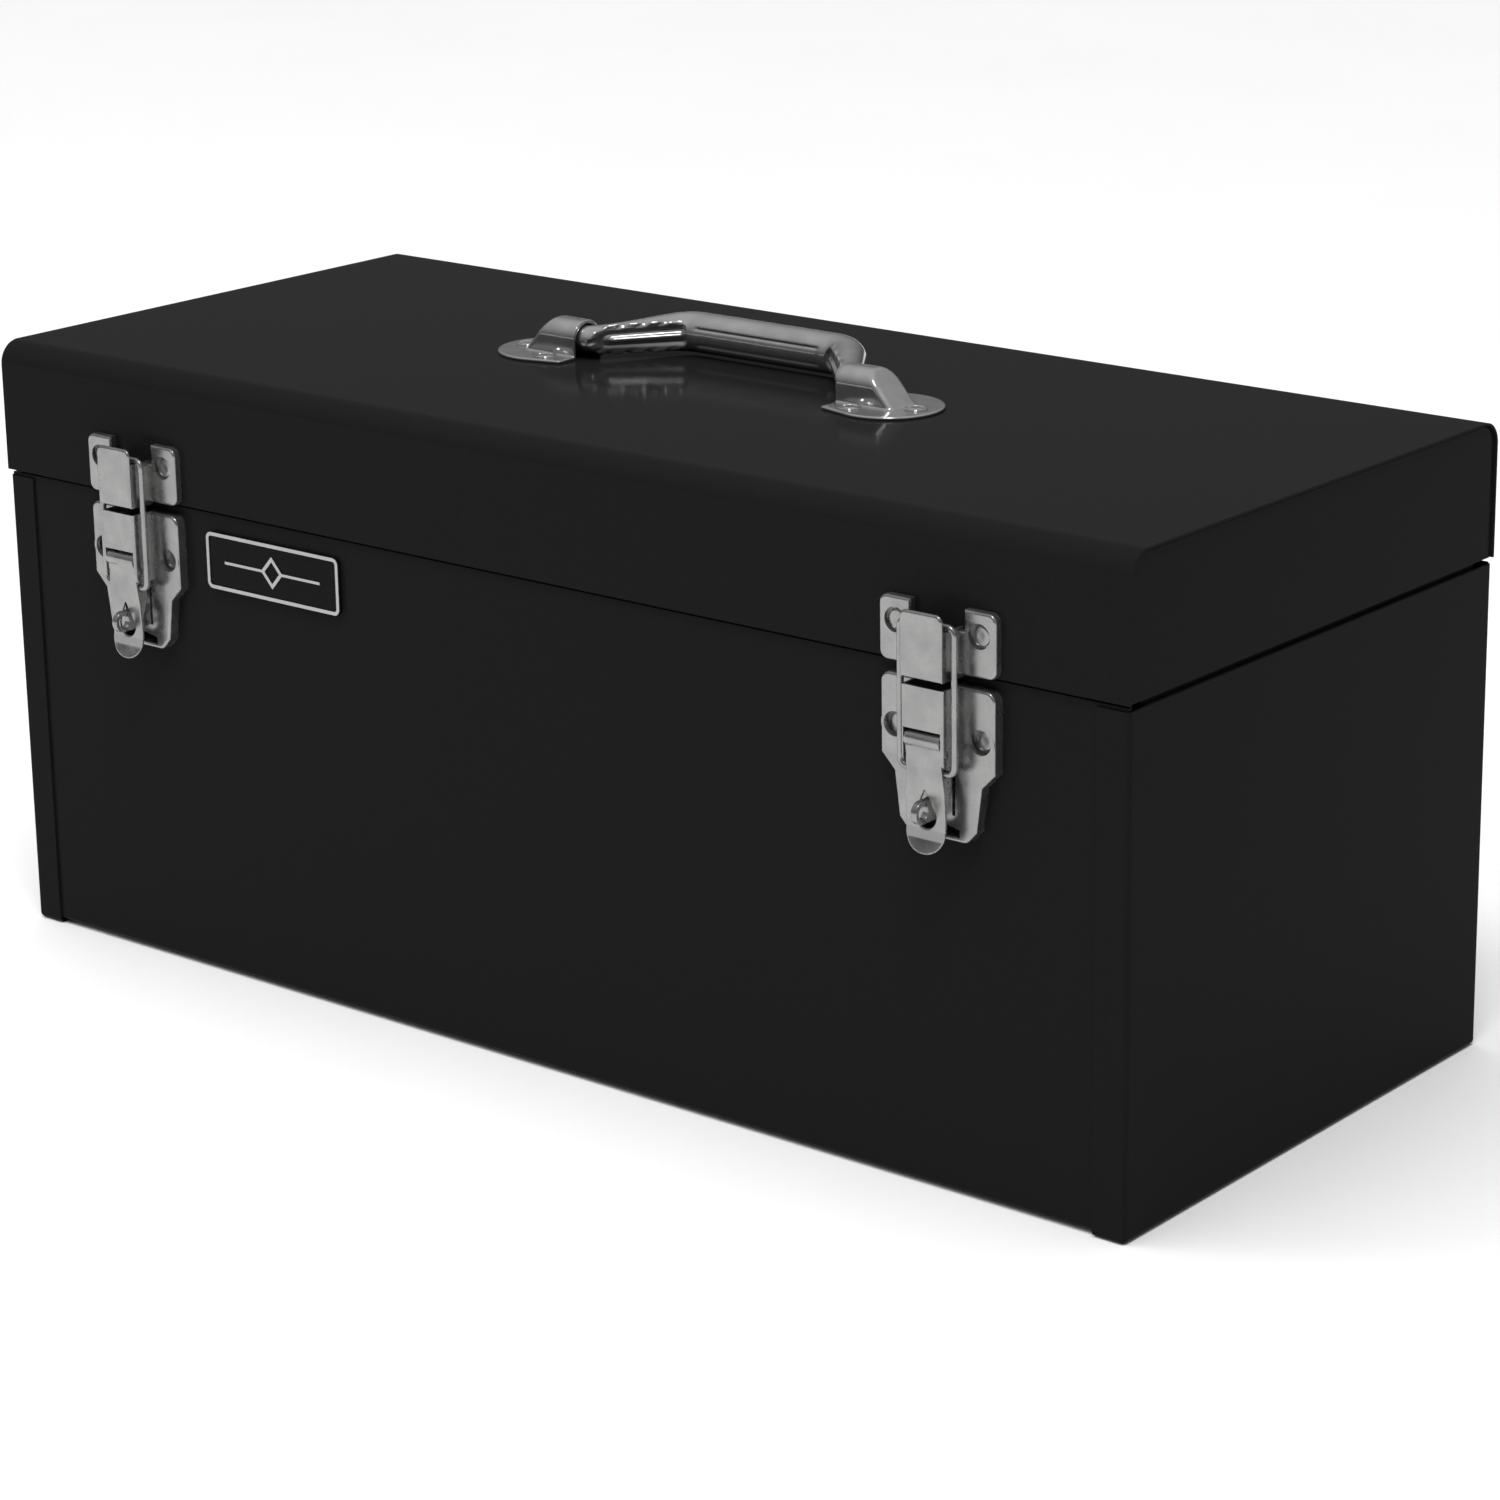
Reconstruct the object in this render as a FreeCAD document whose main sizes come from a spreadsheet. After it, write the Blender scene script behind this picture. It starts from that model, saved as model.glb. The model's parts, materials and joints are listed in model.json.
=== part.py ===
import FreeCAD, Part
import os
import re

import Sketcher
from FreeCAD import Placement, Rotation, Vector

# Portable flat-top steel tool box, in millimetres.
# +Z is up, +X runs along the front to the right, -Y is the front.
# The origin is the middle of the rectangle that the box stands on.

os.makedirs("parts", exist_ok=True)
doc = FreeCAD.newDocument("ToolBox")
sheet = doc.addObject("Spreadsheet::Sheet", "Sizes")

SIZES = [
    # outer size of the closed lid, and the sheet steel
    ("box_length", "511"),
    ("box_depth", "219"),
    ("box_height", "227"),
    ("half_length", "=box_length / 2"),
    ("half_depth", "=box_depth / 2"),
    ("steel", "0.9"),
    ("weld_gap", "0.05"),
    # case: end pans lap outside the front-bottom-back wrap
    ("end_face", "=half_length - 0.4"),
    ("flange_face", "=half_depth - 0.4"),
    ("flange_width", "12.5"),
    ("flange_edge", "=end_face - flange_width"),
    ("end_top", "176.2"),
    ("wrap_face", "=flange_face - steel - weld_gap"),
    ("wrap_inside", "=wrap_face - steel"),
    ("wrap_end", "=end_face - steel - weld_gap"),
    ("floor_under", "=steel + weld_gap"),
    ("floor_top", "=floor_under + steel"),
    ("shoulder", "177.4"),
    ("back_top", "176.9"),
    ("rim_top", "186"),
    ("joggle", "0.75"),
    ("rim_half", "238"),
    ("end_rim", "252.9"),
    ("end_rim_half", "100"),
    ("wrap_bend", "2.5"),
    ("corner_bend", "2"),
    # lid: one wrap with a pan let into each end
    ("lid_edge", "178.5"),
    ("lid_bend", "8.5"),
    ("lid_inset", "1"),
    ("lid_flange", "10"),
    ("lid_end_face", "=half_length - lid_inset"),
    ("lid_end_half", "=half_depth - steel - weld_gap"),
    ("lid_end_top", "=box_height - steel - weld_gap"),
    ("lid_end_round", "0.8"),
    # piano hinge along the back seam
    ("pin_back", "=half_depth + 2.3"),
    ("pin_height", "177.7"),
    ("pin_radius", "1.15"),
    ("pin_bore", "1.2"),
    ("knuckle_radius", "2"),
    ("knuckle_pitch", "25.2"),
    ("knuckle_gap", "0.3"),
    ("leaf", "0.8"),
    ("leaf_height", "13"),
    ("leaf_half", "=knuckle_pitch * 9.5"),
    ("case_leaf_back", "=wrap_inside - weld_gap"),
    ("lid_leaf_back", "=half_depth - steel - weld_gap"),
    ("tongue_low", "=pin_height - leaf / 2"),
    ("tongue_high", "=pin_height + leaf / 2"),
    # latches, each drawn about its own middle plane
    ("latch_middle", "184"),
    ("plate", "1.2"),
    ("latch_face", "=half_depth + 3"),
    ("dimple_radius", "4.2"),
    ("dimple_boss", "5.3"),
    ("hat_half", "8.3"),
    ("hat_wall", "1"),
    ("hat_inner", "=hat_half - hat_wall"),
    ("keeper_half", "22.9"),
    ("ear_inner", "10.6"),
    ("ear_bottom", "178.4"),
    ("ear_top", "199.8"),
    ("saddle_top", "192.5"),
    ("keeper_hat_face", "=half_depth + 11.7"),
    ("keeper_hat_bottom", "177.1"),
    ("keeper_hat_top", "199"),
    ("hook_seat", "193.3"),
    ("keeper_rivet_across", "16.5"),
    ("keeper_rivet_height", "192"),
    ("base_half", "22.5"),
    ("base_top", "174.5"),
    ("base_bottom", "122.8"),
    ("base_hat_face", "=half_depth + 11"),
    ("base_hat_bottom", "160.5"),
    ("cheek_bottom", "148.5"),
    ("base_rivet_across", "17"),
    ("base_rivet_height", "157.5"),
    ("pivot_front", "=half_depth + 8.5"),
    ("pivot_height", "153.2"),
    ("pivot_radius", "1.2"),
    ("pivot_bore", "1.25"),
    ("lever_half", "7"),
    ("lever_wide", "7.7"),
    ("lever_roll", "3"),
    ("lever_crown", "6.3"),
    ("lever_tip", "119.4"),
    ("bail_front", "=half_depth + 7.9"),
    ("bail_low", "146.7"),
    ("bail_high", "194.6"),
    ("bail_half", "10.65"),
    ("bail_radius", "1.15"),
    ("bail_bore", "1.2"),
    ("bail_bend", "2.6"),
    ("bail_end", "5.7"),
    ("staple_half", "1.2"),
    ("staple_height", "133.5"),
    ("staple_round", "3.9"),
    ("eye_front", "=half_depth + 11.6"),
    ("eye_radius", "2.3"),
    ("rivet_radius", "1.55"),
    ("rivet_bore", "1.6"),
    ("rivet_head", "3.2"),
    # badge
    ("badge_left", "-149"),
    ("badge_right", "-82.5"),
    ("badge_bottom", "150"),
    ("badge_top", "171"),
    ("badge_thick", "1.4"),
    ("badge_relief", "0.4"),
    ("badge_border", "1.3"),
    # handle and its brackets
    ("bracket_middle", "78.5"),
    ("bracket_radius", "19.5"),
    ("bracket_mouth", "60.5"),
    ("bracket_mouth_half", "15"),
    ("bracket_wide", "74"),
    ("bracket_wide_half", "18.97"),
    ("hood_half", "7.3"),
    ("hood_height", "13.6"),
    ("hood_crest", "74"),
    ("hood_end", "85"),
    ("hood_shoulder", "6.3"),
    ("hood_ridge", "1.8"),
    ("hood_spring", "=hood_height - hood_half"),
    ("hood_cavity", "73.4"),
    ("bracket_rivet_near", "70.5"),
    ("bracket_rivet_side", "12"),
    ("bracket_rivet_far", "90"),
    ("handle_lift", "6.9"),
    ("handle_tilt", "2.8"),
    ("handle_reach", "28"),
    ("handle_wall", "1.3"),
    ("grip_half", "35"),
    ("grip_radius", "7.4"),
    ("foot_half", "58"),
    ("foot_radius", "4.9"),
    ("foot_end", "72"),
    # lift-out tray on two ledges
    ("ledge_top", "126"),
    ("ledge_inner", "240"),
    ("ledge_half", "90"),
    ("tray_steel", "0.8"),
    ("tray_half_length", "246"),
    ("tray_half_depth", "101"),
    ("tray_bottom", "=ledge_top + weld_gap"),
    ("tray_top", "168"),
    ("tray_handle_top", "198"),
]

for row, (name, text) in enumerate(SIZES, start=1):
    sheet.set(f"A{row}", name)
    sheet.set(f"B{row}", text)
    sheet.setAlias(f"B{row}", name)
doc.recompute()

NAMES = {name for name, text in SIZES}
PLANES = {"X": "YZ_Plane", "Y": "XZ_Plane", "Z": "XY_Plane"}
SIDES = (("left", -1), ("right", 1))
exported = []


def size(text):
    """The value of a sum such as "half_depth - steel * 2", in millimetres."""
    total, term, sign, action = 0.0, 0.0, 1.0, "+"
    for word in str(text).split():
        if word in ("+", "-"):
            total, sign = total + term, 1.0 if word == "+" else -1.0
        if word in ("+", "-", "*", "/"):
            action = word
            continue
        minus, name = word.startswith("-"), word.lstrip("-")
        value = getattr(sheet, name) if name in NAMES else float(name)
        value = -value if minus else value
        if action == "*":
            term *= value
        elif action == "/":
            term /= value
        else:
            term = sign * value
    return total + term


def formula(text):
    """The same sum as an expression on the sheet's cells."""
    return re.sub(r"[a-z][a-z_]+", lambda found: "Sizes." + found.group(0), str(text))


def new_body(label):
    body = doc.addObject("PartDesign::Body", label)
    body.Label = label
    exported.append(body)
    return body


def new_sketch(body, axis, place):
    """A sketch square to an axis, at a coordinate along it."""
    plane = next(p for p in body.Origin.OriginFeatures if p.Role == PLANES[axis])
    sketch = body.newObject("Sketcher::SketchObject", body.Name + "_sketch")
    sketch.AttachmentSupport = [(plane, "")]
    sketch.MapMode = "FlatFace"
    sign = "-1" if axis == "Y" else "1"
    sketch.setExpression("AttachmentOffset.Base.z", f"{sign} * ({formula(place)})")
    return sketch


def pin_point(sketch, line, corner, point):
    """Ties one point of a sketch to its two coordinates on the sheet."""
    for kind, text in zip(("DistanceX", "DistanceY"), point):
        tie = Sketcher.Constraint(kind, -1, 1, line, corner, size(text))
        sketch.setExpression(f"Constraints[{sketch.addConstraint(tie)}]", formula(text))


def draw(sketch, outline):
    """Draws a closed polygon (a list of points) or a circle (across, up, radius)."""
    first = sketch.GeometryCount
    if isinstance(outline, tuple):
        across, up, radius = outline
        middle = Vector(size(across), size(up), 0)
        sketch.addGeometry(Part.Circle(middle, Vector(0, 0, 1), size(radius)))
        pin_point(sketch, first, 3, (across, up))
        tie = Sketcher.Constraint("Radius", first, size(radius))
        sketch.setExpression(f"Constraints[{sketch.addConstraint(tie)}]", formula(radius))
        return
    corners = [Vector(size(across), size(up), 0) for across, up in outline]
    count = len(corners)
    for i in range(count):
        sketch.addGeometry(Part.LineSegment(corners[i], corners[(i + 1) % count]))
    for i in range(count):
        following = first + (i + 1) % count
        sketch.addConstraint(Sketcher.Constraint("Coincident", first + i, 2, following, 1))
        pin_point(sketch, first + i, 1, outline[i])


def rectangle(low, high):
    """The corners of a rectangle between two opposite corners."""
    return [low, (high[0], low[1]), high, (low[0], high[1])]


def mirrored(half):
    """A closed outline from its right half, listed from bottom to top."""
    return half + [(negative(across), up) for across, up in reversed(half)
                   if size(across) > 1e-6]


def negative(text):
    """The same sum with every sign turned round."""
    swap = {"+": "-", "-": "+"}
    flipped = " ".join(swap.get(word, word) for word in text.split())
    return flipped[1:] if flipped.startswith("-") else "-" + flipped


def pad(body, axis, low, high, *outlines):
    """Adds the outlines between two coordinates along an axis."""
    sketch = new_sketch(body, axis, high if axis == "Y" else low)
    for outline in outlines:
        draw(sketch, outline)
    feature = body.newObject("PartDesign::Pad", body.Name + "_pad")
    feature.Profile = sketch
    feature.setExpression("Length", f"({formula(high)}) - ({formula(low)})")
    return feature


def cut(body, axis, low, high, *outlines):
    """Takes the outlines away between two coordinates along an axis."""
    doc.recompute()
    before = body.Shape.Volume
    sketch = new_sketch(body, axis, high if axis == "Y" else low)
    for outline in outlines:
        draw(sketch, outline)
    feature = body.newObject("PartDesign::Pocket", body.Name + "_cut")
    feature.Profile = sketch
    feature.setExpression("Length", f"({formula(high)}) - ({formula(low)})")
    feature.Reversed = True
    doc.recompute()
    if body.Shape.Volume > before - 1e-3:
        raise RuntimeError(f"{body.Label}: a cut takes nothing away")
    return feature


def round_edges(body, radius, wanted):
    """Rounds the edges of the body that wanted(edge) picks."""
    doc.recompute()
    base = body.Tip
    picked = [f"Edge{i}" for i, edge in enumerate(base.Shape.Edges, start=1) if wanted(edge)]
    if not picked:
        raise RuntimeError(f"{body.Label}: no edge to round")
    feature = body.newObject("PartDesign::Fillet", body.Name + "_round")
    feature.Base = (base, picked)
    feature.setExpression("Radius", formula(radius))
    return feature


def along(axis, *spots):
    """Picks straight edges along an axis that pass through one of the spots."""
    main = "XYZ".index(axis)
    others = [i for i in range(3) if i != main]

    def wanted(edge):
        if edge.Curve.TypeId != "Part::GeomLine":
            return False
        ends = [vertex.Point for vertex in edge.Vertexes]
        if abs((ends[1] - ends[0])[main]) < 0.999 * edge.Length:
            return False
        middle = edge.CenterOfMass
        return any(
            all(abs(middle[i] - size(text)) < 0.02 for i, text in zip(others, spot))
            for spot in spots
        )

    return wanted


def in_plane(axis, place, also=lambda point: True):
    """Picks the edges that lie in the plane at a coordinate of an axis."""
    main = "XYZ".index(axis)

    def wanted(edge):
        flat = all(abs(v.Point[main] - size(place)) < 0.01 for v in edge.Vertexes)
        middle = edge.CenterOfMass
        return flat and abs(middle[main] - size(place)) < 0.01 and also(middle)

    return wanted


def pattern(body, feature, spacing, count):
    """Repeats one cut along X, count times in all."""
    repeat = body.newObject("PartDesign::LinearPattern", body.Name + "_pattern")
    repeat.Originals = [feature]
    repeat.Direction = (feature.Profile[0], ["H_Axis"])
    repeat.setExpression("Length", f"({formula(spacing)}) * {count - 1}")
    repeat.Occurrences = count
    body.Tip = repeat


def shift(body, across):
    """Moves a piece that is drawn about its own middle plane to its place."""
    body.setExpression("Placement.Base.x", across)


def turn_about(body, side):
    """Turns a piece drawn for the right end half a turn for the left end."""
    if side < 0:
        body.Placement = Placement(Vector(), Rotation(Vector(0, 0, 1), 180))


# ---------------------------------------------------------------- case

def make_body_wrap():
    """Front, floor and back folded from one sheet, with a rim inside the lid."""
    body = new_body("body_wrap")
    pad(body, "X", "-wrap_end", "wrap_end", [
        ("-wrap_face", "floor_under"),
        ("wrap_face", "floor_under"),
        ("wrap_face", "back_top"),
        ("wrap_inside", "back_top"),
        ("wrap_inside", "floor_top"),
        ("-wrap_inside", "floor_top"),
        ("-wrap_inside", "shoulder - steel"),
        ("-wrap_inside + joggle", "shoulder - steel"),
        ("-wrap_inside + joggle", "rim_top"),
        ("-wrap_face + joggle", "rim_top"),
        ("-wrap_face + joggle", "shoulder"),
        ("-wrap_face", "shoulder"),
    ])
    round_edges(body, "wrap_bend", along(
        "X", ("-wrap_face", "floor_under"), ("wrap_face", "floor_under")))
    round_edges(body, "wrap_bend - steel", along(
        "X", ("-wrap_inside", "floor_top"), ("wrap_inside", "floor_top")))
    cut(body, "Y", "-wrap_face - 1", "-wrap_face + 5",
        rectangle(("rim_half", "shoulder"), ("half_length", "rim_top + 1")),
        rectangle(("-half_length", "shoulder"), ("-rim_half", "rim_top + 1")))
    cut(body, "Y", "-wrap_face - 1", "-wrap_face + 5", *[
        (f"{sign}latch_middle {hand} base_rivet_across", "base_rivet_height", "rivet_bore")
        for sign in ("", "-") for hand in "+-"])


def make_end_panel(name, side):
    """An end pan: its plate closes the case and its flanges lap the wrap."""
    body = new_body(f"{name}_end_panel")
    pad(body, "X", "flange_edge", "end_face",
        rectangle(("-flange_face", "0"), ("flange_face", "end_top")))
    round_edges(body, "corner_bend", lambda edge: (
        along("Z", ("end_face", "flange_face"), ("end_face", "-flange_face"))(edge)
        or along("Y", ("end_face", "0"))(edge)
        or along("X", ("flange_face", "0"), ("-flange_face", "0"))(edge)))
    cut(body, "X", "flange_edge - 1", "end_face - steel", [
        ("-flange_face + steel", "steel"),
        ("flange_face - steel", "steel"),
        ("flange_face - steel", "end_top + 1"),
        ("-flange_face + steel", "end_top + 1"),
    ])
    pad(body, "Y", "-end_rim_half", "end_rim_half", [
        ("end_face - 0.3", "end_top - steel"),
        ("end_face - 0.3", "end_top"),
        ("end_rim", "end_top"),
        ("end_rim", "rim_top"),
        ("end_rim - steel", "rim_top"),
        ("end_rim - steel", "end_top - steel"),
    ])
    turn_about(body, side)


def make_case_leaf():
    """The hinge leaf inside the back wall, with ten knuckles outside the seam."""
    body = new_body("hinge_case_leaf")
    pad(body, "X", "-leaf_half", "leaf_half", [
        ("case_leaf_back - leaf", "back_top - leaf_height"),
        ("case_leaf_back", "back_top - leaf_height"),
        ("case_leaf_back", "tongue_low"),
        ("pin_back", "tongue_low"),
        ("pin_back", "tongue_high"),
        ("case_leaf_back - leaf", "tongue_high"),
    ])
    pad(body, "X", "-leaf_half", "leaf_half", ("pin_back", "pin_height", "knuckle_radius"))
    cut(body, "X", "-leaf_half - 1", "leaf_half + 1", ("pin_back", "pin_height", "pin_bore"))
    slot = cut(body, "Z", "back_top", "pin_height + 4", rectangle(
        ("-knuckle_pitch * 8.5 - knuckle_gap / 2", "case_leaf_back - 2"),
        ("-knuckle_pitch * 7.5 + knuckle_gap / 2", "pin_back + 4")))
    pattern(body, slot, "knuckle_pitch * 2", 9)
    slot = cut(body, "Z", "pin_height - 4", "back_top", rectangle(
        ("-knuckle_pitch * 8.5 - knuckle_gap / 2", "case_leaf_back + 1"),
        ("-knuckle_pitch * 7.5 + knuckle_gap / 2", "pin_back + 4")))
    pattern(body, slot, "knuckle_pitch * 2", 9)


def make_lid_leaf():
    """The hinge leaf inside the lid's back skirt, with nine knuckles."""
    body = new_body("hinge_lid_leaf")
    pad(body, "X", "-leaf_half", "leaf_half", [
        ("lid_leaf_back - leaf", "tongue_low"),
        ("pin_back", "tongue_low"),
        ("pin_back", "tongue_high"),
        ("lid_leaf_back", "tongue_high"),
        ("lid_leaf_back", "lid_edge + leaf_height"),
        ("lid_leaf_back - leaf", "lid_edge + leaf_height"),
    ])
    pad(body, "X", "-leaf_half", "leaf_half", ("pin_back", "pin_height", "knuckle_radius"))
    cut(body, "X", "-leaf_half - 1", "leaf_half + 1", ("pin_back", "pin_height", "pin_bore"))
    slot = cut(body, "Z", "pin_height - 4", "lid_edge + 0.6", rectangle(
        ("-knuckle_pitch * 9.5 - knuckle_gap / 2", "lid_leaf_back - 2"),
        ("-knuckle_pitch * 8.5 + knuckle_gap / 2", "pin_back + 4")))
    pattern(body, slot, "knuckle_pitch * 2", 10)
    slot = cut(body, "Z", "lid_edge + 0.6", "pin_height + 4", rectangle(
        ("-knuckle_pitch * 9.5 - knuckle_gap / 2", "lid_leaf_back + 0.5"),
        ("-knuckle_pitch * 8.5 + knuckle_gap / 2", "pin_back + 4")))
    pattern(body, slot, "knuckle_pitch * 2", 10)


def make_hinge_pin():
    body = new_body("hinge_pin")
    pad(body, "X", "-leaf_half - 0.6", "leaf_half + 0.6",
        ("pin_back", "pin_height", "pin_radius"))


# ----------------------------------------------------------------- lid

def make_lid_wrap():
    """Front skirt, flat top and back skirt folded from one sheet."""
    body = new_body("lid_wrap")
    pad(body, "X", "-half_length", "half_length", [
        ("-half_depth", "lid_edge"),
        ("-half_depth + steel", "lid_edge"),
        ("-half_depth + steel", "box_height - steel"),
        ("half_depth - steel", "box_height - steel"),
        ("half_depth - steel", "lid_edge"),
        ("half_depth", "lid_edge"),
        ("half_depth", "box_height"),
        ("-half_depth", "box_height"),
    ])
    round_edges(body, "lid_bend", along(
        "X", ("-half_depth", "box_height"), ("half_depth", "box_height")))
    round_edges(body, "lid_bend - steel", along(
        "X", ("-half_depth + steel", "box_height - steel"),
        ("half_depth - steel", "box_height - steel")))
    cut(body, "Y", "-half_depth - 1", "-half_depth + 5", *[
        (f"{sign}latch_middle {hand} keeper_rivet_across", "keeper_rivet_height", "rivet_bore")
        for sign in ("", "-") for hand in "+-"])
    cut(body, "Z", "box_height - 5", "box_height + 1", *[
        (across, up, "rivet_bore") for sign in ("", "-") for across, up in (
            (f"{sign}bracket_rivet_near", "bracket_rivet_side"),
            (f"{sign}bracket_rivet_near", "-bracket_rivet_side"),
            (f"{sign}bracket_rivet_far", "0"))])


def make_lid_end(name, side):
    """A pan let into the end of the lid wrap, a little inside its edge."""
    body = new_body(f"{name}_lid_end")
    pad(body, "X", "lid_end_face - lid_flange", "lid_end_face", rectangle(
        ("-lid_end_half", "lid_edge"), ("lid_end_half", "lid_end_top")))
    cut(body, "X", "lid_end_face - lid_flange - 1", "lid_end_face - steel", [
        ("-lid_end_half + steel", "lid_edge - 1"),
        ("lid_end_half - steel", "lid_edge - 1"),
        ("lid_end_half - steel", "lid_end_top - steel"),
        ("-lid_end_half + steel", "lid_end_top - steel"),
    ])
    round_edges(body, "lid_bend - steel * 2 - weld_gap", along(
        "X", ("-lid_end_half + steel", "lid_end_top - steel"),
        ("lid_end_half - steel", "lid_end_top - steel")))
    round_edges(body, "lid_bend - steel - weld_gap", along(
        "X", ("-lid_end_half", "lid_end_top"), ("lid_end_half", "lid_end_top")))
    round_edges(body, "lid_end_round", in_plane(
        "X", "lid_end_face", lambda point: point.z > size("lid_edge") + 1))
    turn_about(body, side)


# ------------------------------------------------------------- latches

def make_keeper(name, side):
    """The plate on the lid: two dished ears and a hat that the bail hooks over."""
    body = new_body(f"{name}_keeper")
    pad(body, "Y", "-latch_face", "-half_depth", mirrored([
        ("keeper_half", "ear_bottom"),
        ("keeper_half", "ear_top"),
        ("ear_inner", "ear_top"),
        ("ear_inner", "saddle_top"),
    ]))
    round_edges(body, "3", along(
        "Y", ("keeper_half", "ear_bottom"), ("keeper_half", "ear_top"),
        ("-keeper_half", "ear_bottom"), ("-keeper_half", "ear_top")))
    round_edges(body, "1", in_plane("Y", "-latch_face"))
    cut(body, "Y", "-latch_face + plate", "-half_depth", rectangle(
        ("ear_inner + plate", "ear_bottom + plate"),
        ("keeper_half - plate", "ear_top - plate")), rectangle(
        ("-keeper_half + plate", "ear_bottom + plate"),
        ("-ear_inner - plate", "ear_top - plate")))
    add_dimples(body, "keeper_rivet_across", "keeper_rivet_height", "half_depth")
    pad(body, "Y", "-keeper_hat_face", "-half_depth", rectangle(
        ("-hat_half", "keeper_hat_bottom"), ("hat_half", "keeper_hat_top")))
    round_edges(body, "2.5", along(
        "Y", ("-hat_half", "keeper_hat_top"), ("hat_half", "keeper_hat_top")))
    round_edges(body, "0.9", in_plane("Y", "-keeper_hat_face"))
    cut(body, "Y", "-keeper_hat_face + hat_wall", "-half_depth", rectangle(
        ("-hat_inner", "keeper_hat_bottom - 1"), ("hat_inner", "keeper_hat_top + 1")))
    cut(body, "Y", "-keeper_hat_face + hat_wall", "-half_depth", rectangle(
        ("-hat_half - 1", "hook_seat"), ("hat_half + 1", "keeper_hat_top + 1")))
    shift(body, f"{'-' if side < 0 else ''}Sizes.latch_middle")


def add_dimples(body, across, height, seat):
    """Sinks a round dimple with a rivet hole into each ear of a dished plate."""
    spots = [(across, height), (negative(across), height)]
    pad(body, "Y", "-latch_face + 0.1", f"-{seat}",
        *[(a, up, "dimple_boss") for a, up in spots])
    cut(body, "Y", "-latch_face - 0.1", f"-{seat} - plate",
        *[(a, up, "dimple_radius") for a, up in spots])
    cut(body, "Y", f"-{seat} - plate - 0.1", f"-{seat}",
        *[(a, up, "rivet_bore") for a, up in spots])


def make_latch_base(name, side):
    """The plate on the case: a hat whose cheeks carry the lever's pin."""
    body = new_body(f"{name}_latch_base")
    pad(body, "Y", "-latch_face", "-wrap_face", mirrored([
        ("11.5", "base_bottom"),
        ("15.3", "127"),
        ("17.3", "142"),
        ("base_half", "147.3"),
        ("base_half", "base_top"),
    ]))
    round_edges(body, "3.5", along(
        "Y", ("base_half", "base_top"), ("-base_half", "base_top"),
        ("11.5", "base_bottom"), ("-11.5", "base_bottom")))
    round_edges(body, "1", in_plane("Y", "-latch_face"))
    cut(body, "Y", "-latch_face + plate", "-wrap_face", mirrored([
        ("10.4", "base_bottom + plate"),
        ("14", "127.6"),
        ("16", "142.6"),
        ("base_half - plate", "147.9"),
        ("base_half - plate", "base_top - plate"),
    ]))
    add_dimples(body, "base_rivet_across", "base_rivet_height", "wrap_face")
    pad(body, "Y", "-base_hat_face", "-wrap_face", rectangle(
        ("-hat_half", "cheek_bottom"), ("hat_half", "base_top")))
    round_edges(body, "2.5", along("X", ("-base_hat_face", "cheek_bottom")))
    round_edges(body, "0.9", along("Z", ("-hat_half", "-base_hat_face"),
                                   ("hat_half", "-base_hat_face")))
    cut(body, "Y", "-base_hat_face + hat_wall", "-wrap_face", rectangle(
        ("-hat_inner", "cheek_bottom - 0.5"), ("hat_inner", "base_top + 1")))
    cut(body, "Y", "-base_hat_face - 1", "-base_hat_face + hat_wall + 1", rectangle(
        ("-hat_inner", "cheek_bottom - 1"), ("hat_inner", "base_hat_bottom")))
    cut(body, "X", "-hat_half - 1", "hat_half + 1",
        ("-pivot_front", "pivot_height", "pivot_bore"))
    cut(body, "Y", "-latch_face - 1", "-wrap_face", [
        ("-9", "124.4"), ("9", "124.4"), ("9", "127"), ("0", "128.9"), ("-9", "127")],
        rectangle(("6", "131.5"), ("7.2", "146")),
        rectangle(("-7.2", "131.5"), ("-6", "146")))
    shift(body, f"{'-' if side < 0 else ''}Sizes.latch_middle")


def make_staple(name, side):
    """The padlock eye that stands through the lever's hole."""
    body = new_body(f"{name}_staple")
    pad(body, "X", "-staple_half", "staple_half", rectangle(
        ("-eye_front - staple_round", "staple_height - staple_round"),
        ("-latch_face - weld_gap", "staple_height + staple_round")))
    round_edges(body, "staple_round - 0.05", along(
        "X", ("-eye_front - staple_round", "staple_height - staple_round"),
        ("-eye_front - staple_round", "staple_height + staple_round")))
    cut(body, "X", "-staple_half - 1", "staple_half + 1",
        ("-eye_front", "staple_height", "eye_radius"))
    round_edges(body, "0.4", in_plane("X", "staple_half"))
    round_edges(body, "0.4", in_plane("X", "-staple_half"))
    shift(body, f"{'-' if side < 0 else ''}Sizes.latch_middle")


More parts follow.
